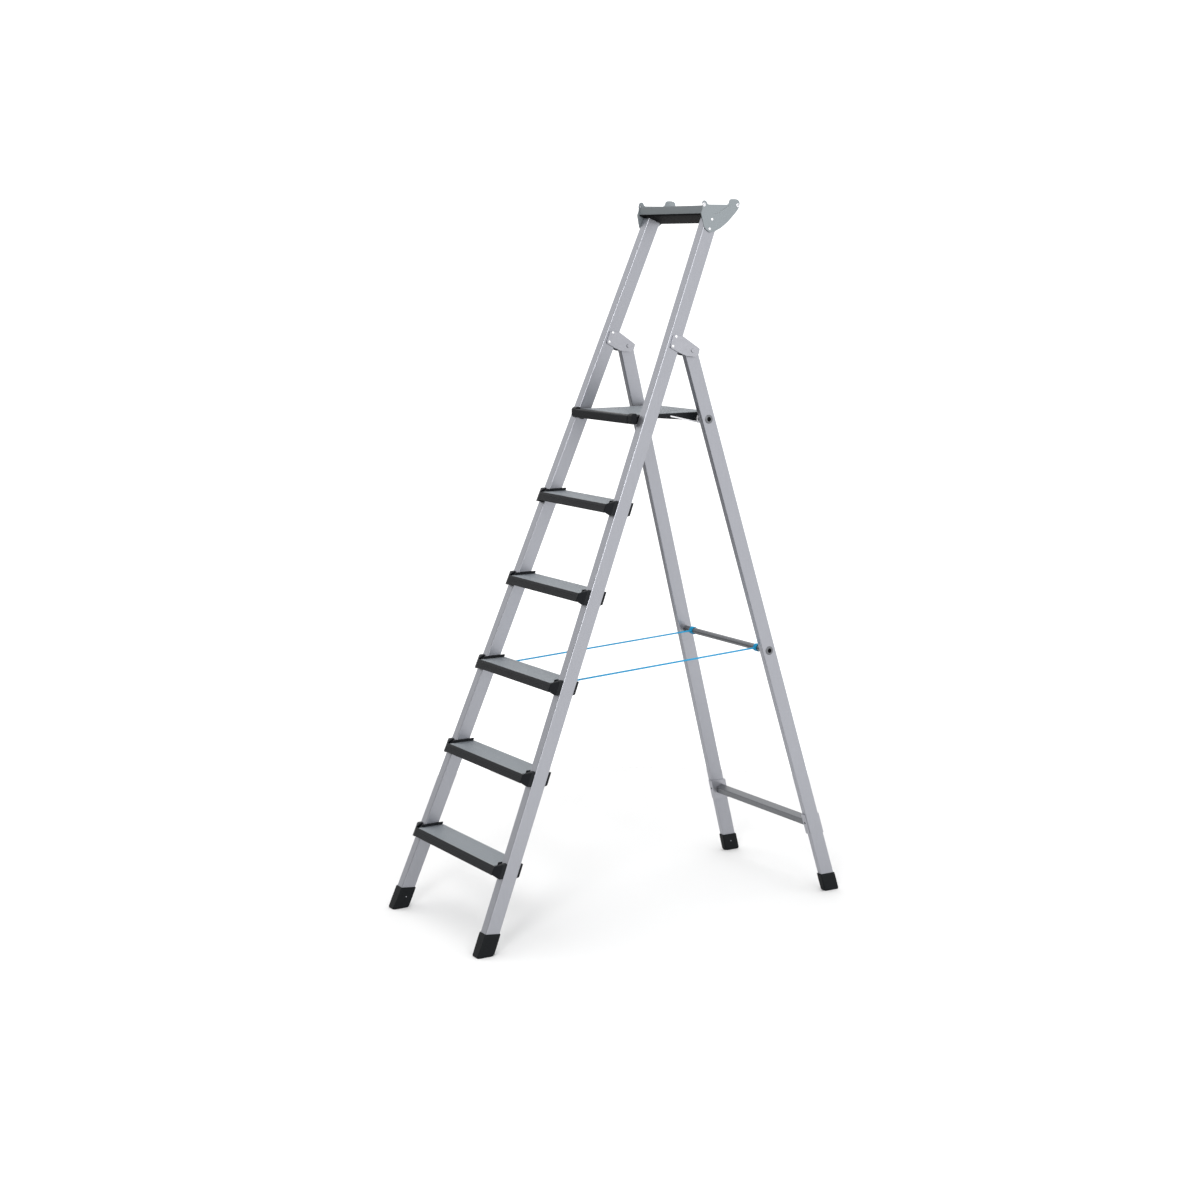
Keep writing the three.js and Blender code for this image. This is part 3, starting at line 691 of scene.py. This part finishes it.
def build_tray(settings):
    sheet = MATERIALS["sheet"]
    top_y = stile_front(TOP_Z)
    # The middle line of the sheet, from the top of the front wall to the top of the back.
    line = [(-13.75, 27.4), (-13.75, 6.0), (-12.6, 3.6)]
    line += [(dy, tray_floor(dy) - 1.3) for dy in (-8, 10, 30, 43)]
    curve = ((47, -19.4), (53, -18.7), (59, -17.2), (65, -13.6), (71.5, -8.6), (78, -2), (83.5, 4.8))
    line += list(curve) + [(88, 11.6), (91.8, 18.6), (95, 27.4)]

    def offset(points, amount):
        result = []
        for i, point in enumerate(points):
            ahead = Vector(points[min(i + 1, len(points) - 1)]) - Vector(points[max(i - 1, 0)])
            ahead.normalize()
            result.append((point[0] + ahead.y * amount, point[1] - ahead.x * amount))
        return result

    half = TRAY_SHEET / 2 - 0.05
    section = offset(line, half) + offset(line, -half)[::-1]
    tray = prism(from_point(top_y, TOP_Z, section), -1, 1)
    for vert in tray.verts:
        reach = HALF_WIDTH - TAPER * vert.co.z
        vert.co.x = math.copysign(reach, vert.co.x)
    bevel_edges(tray, 0.4, 2, 1.2)
    shown = piece("tool_tray", tray, sheet, "front_frame", "grey_sheet")
    # Painted shade: the tray's downward-facing faces get the near-black second material, which stands in for the
    # shadow under the tray.
    shown.data.materials.append(MATERIALS["dark"])
    for polygon in shown.data.polygons:
        if polygon.normal.z < -0.3 and polygon.center.z < (TOP_Z + 12) * MM:
            polygon.material_index = 1

    start = STILE_WIDTH + GAP
    outline = from_point(top_y, TOP_Z, softened(FAN, 3, 3))
    pegs = [(-11.8, 29.6), (101.4, 28.2)]
    holes = [circle(top_y + dy, TOP_Z + dz, 3.2, 24) for dy, dz in pegs]
    holes.append(from_point(top_y, TOP_Z, SLOT))

    def fan():
        return prism(outline, start, start + 3, holes=holes, bevel=0.5)

    pair("tray_end", fan, sheet, "front_frame", "grey_sheet", beside_stile)
    for side, sign in SIDES:
        rivets = [dome(start + 3, top_y + dy, TOP_Z + dz, 3.8, 1.8) for dy, dz in ((14.1, -10.6), (4.8, -36.9))]
        for dy, dz in pegs:
            y, z = top_y + dy, TOP_Z + dz
            collar = [(start + 2.8, 5.4), (start + 4.4, 5.2), (start + 4.8, 4.6), (start + 4.8, 3.4), (start + 2.8, 3.2)]
            ring = turned([*collar, (start + 2.8, 3.2)], y, z, 24)
            rivets.append(ring)
        piece(
            f"tray_rivets_{side}",
            merge(*rivets),
            MATERIALS["wire"],
            "front_frame",
            "bright_steel",
            beside_stile,
            sign < 0,
            replaces=(),
        )


SKIRT = HALF_WIDTH - 129
NOSE_BACK = stile_front(PLATFORM_TOP) - 27 + 24
PLATFORM_BACK = stile_front(PLATFORM_TOP) - 27 + 279
PIVOT_Z = PLATFORM_TOP - 17
PIVOT_Y = stile_front(PIVOT_Z) + 17.7
BAR_Z = PLATFORM_TOP - 18.2
BAR_Y = leg_middle(BAR_Z)


def platform_profile():
    top, foot_z, notch = PLATFORM_TOP - 1, PLATFORM_TOP - 24.5, BAR_RADIUS + GAP
    arc = []
    for i in range(13):
        angle = math.pi - i / 12 * math.pi
        arc.append((BAR_Y + notch * math.cos(angle), BAR_Z + notch * math.sin(angle)))
    start = NOSE_BACK + GAP
    points = [(start, top), (start, top - 12), (BAR_Y - 134, top - 12)]
    points += [(BAR_Y - notch, foot_z), *arc, (BAR_Y + notch, foot_z), (PLATFORM_BACK - 5, foot_z + 1)]
    return points + [(PLATFORM_BACK, foot_z + 6), (PLATFORM_BACK, top)]


def build_platform(settings):
    pitch, depth = settings.groove_pitch / MM, settings.groove_depth / MM
    plastic = MATERIALS["plastic"]
    top = PLATFORM_TOP
    profile = platform_profile()
    walls = [prism(profile, start, start + 2.5, bevel=0.4) for start in (-SKIRT, -47.9, 45.4, SKIRT - 2.5)]
    start = NOSE_BACK + GAP
    under = [(start, top - 7), (PLATFORM_BACK - 1, top - 7), (PLATFORM_BACK - 1, top - 3.3), (start, top - 3.3)]
    walls.append(prism(under, -SKIRT + 0.5, SKIRT - 0.5))
    for y0, y1, foot_z in ((start, start + 3, top - 13), (PLATFORM_BACK - 3, PLATFORM_BACK, top - 18)):
        wall = [(y0, foot_z), (y1, foot_z), (y1, top - 1), (y0, top - 1)]
        walls.append(prism(wall, -SKIRT + 0.2, SKIRT - 0.2, bevel=0.5))
    piece("platform_frame", merge(*walls), plastic, "platform", "black_plastic")

    end = PLATFORM_BACK - 2.8
    grooves = grooved(start + 3, end - 3, top, pitch, depth)
    deck = [(start, top - 3), (end, top - 3), (end, top), *grooves, (start, top)]
    reach = SKIRT - 2.8
    piece("platform_deck", prism(deck, -reach, reach), MATERIALS["tread"], "platform", "grooved_tread")

    front = NOSE_BACK - 24
    nose = [(NOSE_BACK, top - 24), (front + 2, top - 24), (front, top - 21.5), (front, top - 4)]
    nose += [(front + 1, top - 1.4), (front + 3.5, top), (NOSE_BACK, top)]
    band = prism(nose, -SKIRT, SKIRT, bevel=0.6)
    ribs = []
    for height in (-7, -11, -15, -19):
        rib = [(front + 1, top + height - 0.5), (front - 0.25, top + height - 0.3)]
        rib += [(front - 0.25, top + height + 0.3), (front + 1, top + height + 0.5)]
        ribs.append(prism(rib, -SKIRT + 4, SKIRT - 4))
    piece("platform_nosing", merge(band, *ribs), plastic, "platform", "black_plastic")

    front_reach = stile_inner(top) - 1.3
    rear_reach = stile_inner(top) - 4.2
    ahead = [(-18, -7), (-18, 22), (-30, 22), (-37, 17), (-37, -2), (-32, -8)]
    behind = [(-19, -7), (8, -11), (24, -7), (30, 2), (30, 15), (-19, 15)]

    def corner():
        block = prism(from_point(PIVOT_Y, PIVOT_Z, softened(ahead, 3)), SKIRT + GAP, front_reach, bevel=1.0)
        hole = [circle(PIVOT_Y, PIVOT_Z, 4.3, 24)]
        arm = prism(from_point(PIVOT_Y, PIVOT_Z, softened(behind, 3)), SKIRT + GAP, rear_reach, holes=hole, bevel=0.6)
        return merge(block, arm)

    pair("platform_corner", corner, plastic, "platform", "black_plastic")

    def boss():
        stub = rear_reach - SKIRT - 1.3
        disc = [(-3.9 - stub, 0), (-3.9 - stub, 3.5), (-3.4 - stub, 4), (-3, 4), (-3, 14.4), (-2.6, 15), (-GAP, 15)]
        return turned([*disc, (-GAP, 0)], PIVOT_Y, PIVOT_Z)

    pair("platform_pivot", boss, plastic, "front_frame", "black_plastic", beside_stile)


def bar_mesh(z):
    """A round crossbar whose ends are opened out against the outside of the legs."""
    y = leg_middle(z)
    face = LEG_WIDTH
    profile = [(-9, 6.5), (face + 1.9, 6.5), (face + 2.1, 7.4), (face + 1.9, 9.5), (face + 1.2, 11.6)]
    profile += [(face + 0.8, 12.3), (face + 0.4, 12.2), (face + 0.3, 10.5), (face - 0.1, 9.2), (face - 1, 9), (-9, 9)]
    ends = []
    for sign in (1, -1):
        rings = []
        for u, radius in profile:
            rings.append([(beside_leg(u, y, z + b)[0], y + a, z + b) for a, b in circle(0, 0, radius, 48)])
        end = closed_round(rings)
        if sign < 0:
            mirror(end)
        ends.append(end)
    reach = leg_inner(z) - 8
    tube = skin([[(x, y + a, z + b) for a, b in circle(0, 0, 9, 48)] for x in (-reach, reach)], cap=False)
    return merge(tube, *ends)


def paint_shade_in_bores(node, z):
    """Painted shade: a near-black disc just inside each open end of a crossbar stands in for the dark depth of its
    bore.
    """
    y = leg_middle(z)
    for side, sign in SIDES:
        shade_disc = turned([(LEG_WIDTH + 0.1, 6.6), (LEG_WIDTH + 0.35, 6.6)], y, z)
        make = (f"{node}_bore_{side}", shade_disc, MATERIALS["dark"], "rear_frame", "black_plastic", beside_leg)
        piece(*make, left=sign < 0, replaces=())


def build_crossbars(settings):
    bar, steel = MATERIALS["bar"], MATERIALS["steel"]
    middle_z = step_top(3) + 21.7
    piece("platform_crossbar", bar_mesh(BAR_Z), bar, "rear_frame", "aluminium_tube")
    piece("middle_crossbar", bar_mesh(middle_z), bar, "rear_frame", "aluminium_tube")
    # Painted shade: near-black discs inside the open ends of both round crossbars.
    paint_shade_in_bores("platform_crossbar", BAR_Z)
    paint_shade_in_bores("middle_crossbar", middle_z)

    z, lean = 205, math.atan(LEG_SLOPE)
    y = leg_middle(z)

    def leaning(wide, tall, radius):
        points = []
        for a, b in rounded(-wide / 2, wide / 2, -tall / 2, tall / 2, radius):
            points.append((y + a * math.cos(lean) - b * math.sin(lean), z + a * math.sin(lean) + b * math.cos(lean)))
        return points

    box_tube = prism(leaning(26, 20, 2.5), -1, 1, holes=[leaning(22, 16, 1.5)])
    for vert in box_tube.verts:
        vert.co.x = math.copysign(leg_inner(vert.co.z) - 3.1, vert.co.x)
    piece("lower_crossbar", box_tube, bar, "rear_frame", "aluminium_tube")

    def clasp():
        lip = LEG_WIDTH - 3
        plan = [(-2.5, -2.5), (lip, -2.5), (lip, -GAP), (-GAP, -GAP), (-GAP, LEG_DEPTH + GAP)]
        plan += [(lip, LEG_DEPTH + GAP), (lip, LEG_DEPTH + 3.5), (-2.5, LEG_DEPTH + 3.5)]
        plate = prism(plan, z - 32, z + 28, axis="z", bevel=0.5)
        placed(plate, on_leg)
        return plate

    pair("lower_bracket", clasp, steel, "rear_frame", "bright_steel")
    for side, sign in SIDES:
        piece(
            f"lower_rivet_{side}",
            front_dome(6, -2.4, z + 1, 3.0, 1.1),
            MATERIALS["dark"],
            "rear_frame",
            "black_plastic",
            on_leg,
            sign < 0,
            replaces=(),
        )

    def stay():
        x = SKIRT + GAP + 4.5
        hole = [circle(BAR_Y, BAR_Z, BAR_RADIUS + GAP)]
        eye = prism(circle(BAR_Y, BAR_Z, 12.2), x - 3, x + 3, holes=hole, bevel=0.8)
        tip = (x, BAR_Y - 100.1, BAR_Z + 10)
        root = (x, BAR_Y - 2.9, BAR_Z - BAR_RADIUS - 2.6)
        route = [[r + (t - r) * i / 10 for r, t in zip(root, tip)] for i in range(11)]
        return merge(eye, wire(route, 2))

    pair("platform_stay", stay, MATERIALS["wire"], "stays", "bright_steel")


def build_straps(settings):
    webbing = MATERIALS["webbing"]
    z = step_top(3) - 10
    x = stile_inner(z) - 35
    middle_z = step_top(3) + 21.7
    start = Vector((x, stile_front(step_top(3)) + 62 + GAP, z))
    inside = BAR_RADIUS + GAP
    end = Vector((x, leg_middle(middle_z) - inside - 0.9, middle_z))
    count = 40
    for side, sign in SIDES:
        rings, path = [], []
        for i in range(count):
            centre = start.lerp(end, i / (count - 1))
            path.append((sign * centre.x * MM, centre.y * MM, centre.z * MM))
            rings.append([(centre.x + a, centre.y, centre.z + b) for a, b in rounded(-7, 7, -0.9, 0.9, 0.6, 3)])
        strap = piece(f"strap_{side}", skin(rings), webbing, None, "blue_webbing", left=sign < 0)
        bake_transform(strap)
        loop = []
        for start_x, radius in ((x - 7, inside), (x - 7, inside + 1.8), (x + 7, inside + 1.8), (x + 7, inside)):
            loop.append([(start_x, a, b) for a, b in circle(leg_middle(middle_z), middle_z, radius)])
        make = (f"strap_loop_{side}", closed_round(loop), webbing, "rear_frame", "blue_webbing")
        piece(*make, left=sign < 0, replaces=())


def build_stage(settings):
    mesh = bpy.data.meshes.new("floor")
    bm = bmesh.new()
    bmesh.ops.create_circle(bm, cap_ends=True, segments=128, radius=1.6)
    bm.to_mesh(mesh)
    bm.free()
    floor = bpy.data.objects.new("floor", mesh)
    bpy.context.scene.collection.objects.link(floor)
    paint = bpy.data.materials.new("Pale floor")
    paint.use_nodes = True
    shader = paint.node_tree.nodes["Principled BSDF"]
    shader.inputs["Base Color"].default_value = (0.67, 0.67, 0.67, 1)
    shader.inputs["Roughness"].default_value = 0.8
    shader.inputs["Specular IOR Level"].default_value = 0.1
    mesh.materials.append(paint)

    scene = bpy.context.scene
    world = bpy.data.worlds.new("Studio")
    scene.world = world
    world.use_nodes = True
    nodes, links = world.node_tree.nodes, world.node_tree.links
    sky = nodes["Background"]
    sky.inputs["Strength"].default_value = settings.sky_strength
    # The room is darkest in front of the ladder and low down. The backdrop that is seen is white.
    coords = nodes.new("ShaderNodeTexCoord")
    toward = nodes.new("ShaderNodeVectorMath")
    toward.operation = "DOT_PRODUCT"
    toward.inputs[1].default_value = (0, 1, 0.7)
    links.new(coords.outputs["Generated"], toward.inputs[0])
    level = nodes.new("ShaderNodeMapRange")
    level.interpolation_type = "SMOOTHSTEP"
    level.inputs["From Min"].default_value = -0.9
    level.inputs["From Max"].default_value = -0.05
    level.inputs["To Min"].default_value = settings.front_level
    level.inputs["To Max"].default_value = 1
    links.new(toward.outputs["Value"], level.inputs["Value"])
    seen = nodes.new("ShaderNodeLightPath")
    either = nodes.new("ShaderNodeMath")
    either.operation = "MAXIMUM"
    links.new(level.outputs["Result"], either.inputs[0])
    links.new(seen.outputs["Is Camera Ray"], either.inputs[1])
    links.new(either.outputs["Value"], sky.inputs["Color"])

    lamps = (
        ("Key", (5.5, -1.0, 4.5), 3.0, settings.key_power, (0, 0, 0.9)),
        ("Top", (-1.0, 0.5, 6.0), 3.5, settings.key_power * 0.6, (0, 0, 1.0)),
        ("Edge", (4.0, -3.9, 3.6), 1.2, settings.edge_power, (0, 0, 1.0)),
    )
    for name, at, size, power, aim in lamps:
        data = bpy.data.lights.new(name, "AREA")
        data.size = size
        data.energy = power
        lamp = bpy.data.objects.new(name, data)
        lamp.location = at
        lamp.rotation_euler = (Vector(aim) - Vector(at)).to_track_quat("-Z", "Y").to_euler()
        scene.collection.objects.link(lamp)

    data = bpy.data.cameras.new("Camera")
    camera = bpy.data.objects.new("Camera", data)
    scene.collection.objects.link(camera)
    scene.camera = camera
    data.sensor_width = 36
    data.lens = settings.lens
    data.shift_y = -0.0667
    data.clip_end = 100
    camera.location = (5.1887, -3.2056, 1.8678)
    azimuth, fall, roll = math.radians(58.724), math.radians(7.185), math.radians(-0.179)
    ahead = Vector((-math.sin(azimuth) * math.cos(fall), math.cos(azimuth) * math.cos(fall), -math.sin(fall)))
    facing = ahead.to_track_quat("-Z", "Y").to_matrix()
    camera.rotation_euler = (facing @ Matrix.Rotation(roll, 3, "Z")).to_euler()
    scene.view_settings.view_transform = "Standard"


class LadderSettings(bpy.types.PropertyGroup):
    tube_corner: bpy.props.FloatProperty(
        name="Tube corner",
        description="Radius of the outside corners of the stiles and legs",
        default=0.003,
        unit="LENGTH",
    )
    groove_pitch: bpy.props.FloatProperty(
        name="Groove pitch",
        description="Distance between the grooves of the treads",
        default=0.0042,
        unit="LENGTH",
    )
    groove_depth: bpy.props.FloatProperty(
        name="Groove depth",
        description="Depth of the grooves of the treads",
        default=0.0006,
        unit="LENGTH",
    )
    sky_strength: bpy.props.FloatProperty(
        name="Sky strength",
        description="Brightness of the even light all round",
        default=1.35,
    )
    front_level: bpy.props.FloatProperty(
        name="Front level",
        description="Brightness of the room in front of the ladder, as a share of the rest",
        default=0.12,
    )
    key_power: bpy.props.FloatProperty(
        name="Key power",
        description="Power of the largest lamp",
        default=90.0,
        unit="POWER",
    )
    edge_power: bpy.props.FloatProperty(
        name="Edge power",
        description="Power of the lamp that lights the tubes' corners",
        default=120.0,
        unit="POWER",
    )
    lens: bpy.props.FloatProperty(
        name="Lens",
        description="Focal length of the camera, in millimetres",
        default=65.363,
    )


class LADDER_OT_tubes(bpy.types.Operator):
    """Build the stiles and the rear legs"""

    bl_idname = "ladder.tubes"
    bl_label = "Tubes"

    def execute(self, context):
        build_tubes(context.scene.ladder)
        return {"FINISHED"}


class LADDER_OT_steps(bpy.types.Operator):
    """Build the treads, nosings and end mouldings"""

    bl_idname = "ladder.steps"
    bl_label = "Steps"

    def execute(self, context):
        build_steps(context.scene.ladder)
        return {"FINISHED"}


class LADDER_OT_feet(bpy.types.Operator):
    """Build the four feet"""

    bl_idname = "ladder.feet"
    bl_label = "Feet"

    def execute(self, context):
        build_feet(context.scene.ladder)
        return {"FINISHED"}


class LADDER_OT_hinges(bpy.types.Operator):
    """Build the hinge brackets, pins and spacers"""

    bl_idname = "ladder.hinges"
    bl_label = "Hinges"

    def execute(self, context):
        build_hinges(context.scene.ladder)
        return {"FINISHED"}


class LADDER_OT_tray(bpy.types.Operator):
    """Build the tool tray and its end plates"""

    bl_idname = "ladder.tray"
    bl_label = "Tray"

    def execute(self, context):
        build_tray(context.scene.ladder)
        return {"FINISHED"}


class LADDER_OT_platform(bpy.types.Operator):
    """Build the platform and its pivots"""

    bl_idname = "ladder.platform"
    bl_label = "Platform"

    def execute(self, context):
        build_platform(context.scene.ladder)
        return {"FINISHED"}


class LADDER_OT_crossbars(bpy.types.Operator):
    """Build the crossbars, clasps and stays"""

    bl_idname = "ladder.crossbars"
    bl_label = "Crossbars"

    def execute(self, context):
        build_crossbars(context.scene.ladder)
        return {"FINISHED"}


class LADDER_OT_straps(bpy.types.Operator):
    """Build the straps and their loops"""

    bl_idname = "ladder.straps"
    bl_label = "Straps"

    def execute(self, context):
        build_straps(context.scene.ladder)
        return {"FINISHED"}


class LADDER_OT_stage(bpy.types.Operator):
    """Build the floor, lights and camera"""

    bl_idname = "ladder.stage"
    bl_label = "Stage"

    def execute(self, context):
        build_stage(context.scene.ladder)
        return {"FINISHED"}


OPERATORS = (
    LADDER_OT_tubes,
    LADDER_OT_steps,
    LADDER_OT_feet,
    LADDER_OT_hinges,
    LADDER_OT_tray,
    LADDER_OT_platform,
    LADDER_OT_crossbars,
    LADDER_OT_straps,
    LADDER_OT_stage,
)


class LADDER_PT_panel(bpy.types.Panel):
    bl_label = "Step ladder"
    bl_idname = "LADDER_PT_panel"
    bl_space_type = "VIEW_3D"
    bl_region_type = "UI"
    bl_category = "Ladder"

    def draw(self, context):
        settings = context.scene.ladder
        for name in settings.bl_rna.properties.keys():
            if name not in {"rna_type", "name"}:
                self.layout.prop(settings, name)
        for kind in OPERATORS:
            self.layout.operator(kind.bl_idname)


CLASSES = [LadderSettings, *OPERATORS, LADDER_PT_panel]


def register():
    for kind in CLASSES:
        bpy.utils.register_class(kind)
    bpy.types.Scene.ladder = bpy.props.PointerProperty(type=LadderSettings)


def unregister():
    del bpy.types.Scene.ladder
    for kind in reversed(CLASSES):
        bpy.utils.unregister_class(kind)


def main():
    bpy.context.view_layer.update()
    register()
    make_materials()
    for kind in OPERATORS:
        group, name = kind.bl_idname.split(".")
        getattr(getattr(bpy.ops, group), name)()


if __name__ == "__main__":
    main()
